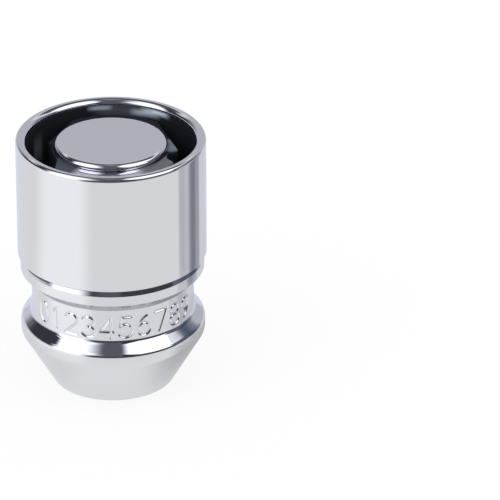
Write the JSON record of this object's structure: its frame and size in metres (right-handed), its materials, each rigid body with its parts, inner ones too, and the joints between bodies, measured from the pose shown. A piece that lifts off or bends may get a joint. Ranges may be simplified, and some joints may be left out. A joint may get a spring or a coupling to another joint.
{
  "type": "locking wheel nut",
  "caption": "Chromed locking wheel nut with a conical seat, a blind threaded bore, a lobed key post and a sleeve that spins freely round the key end.",
  "frame": {"origin": "centre of the nose face, which the nut stands on", "axes": "+Z along the thread axis towards the key end, front of the nut towards -Y"},
  "size_m": [0.0236, 0.0236, 0.033],
  "materials": {
    "chrome_body": "bright chrome plating on turned steel",
    "chrome_sleeve": "bright chrome plating on a drawn tube",
    "spring_steel": "plain oiled spring steel"
  },
  "bodies": {
    "nut": {"nut_body": "chrome_body", "retaining_ring": "spring_steel"},
    "sleeve": {"spin_sleeve": "chrome_sleeve"}
  },
  "joints": [
    {"name": "sleeve_spin", "type": "hinge", "parent": "nut", "child": "sleeve", "pos_m": [0, 0, 0.025], "axis": [0, 0, 1], "continuous": true}
  ]
}
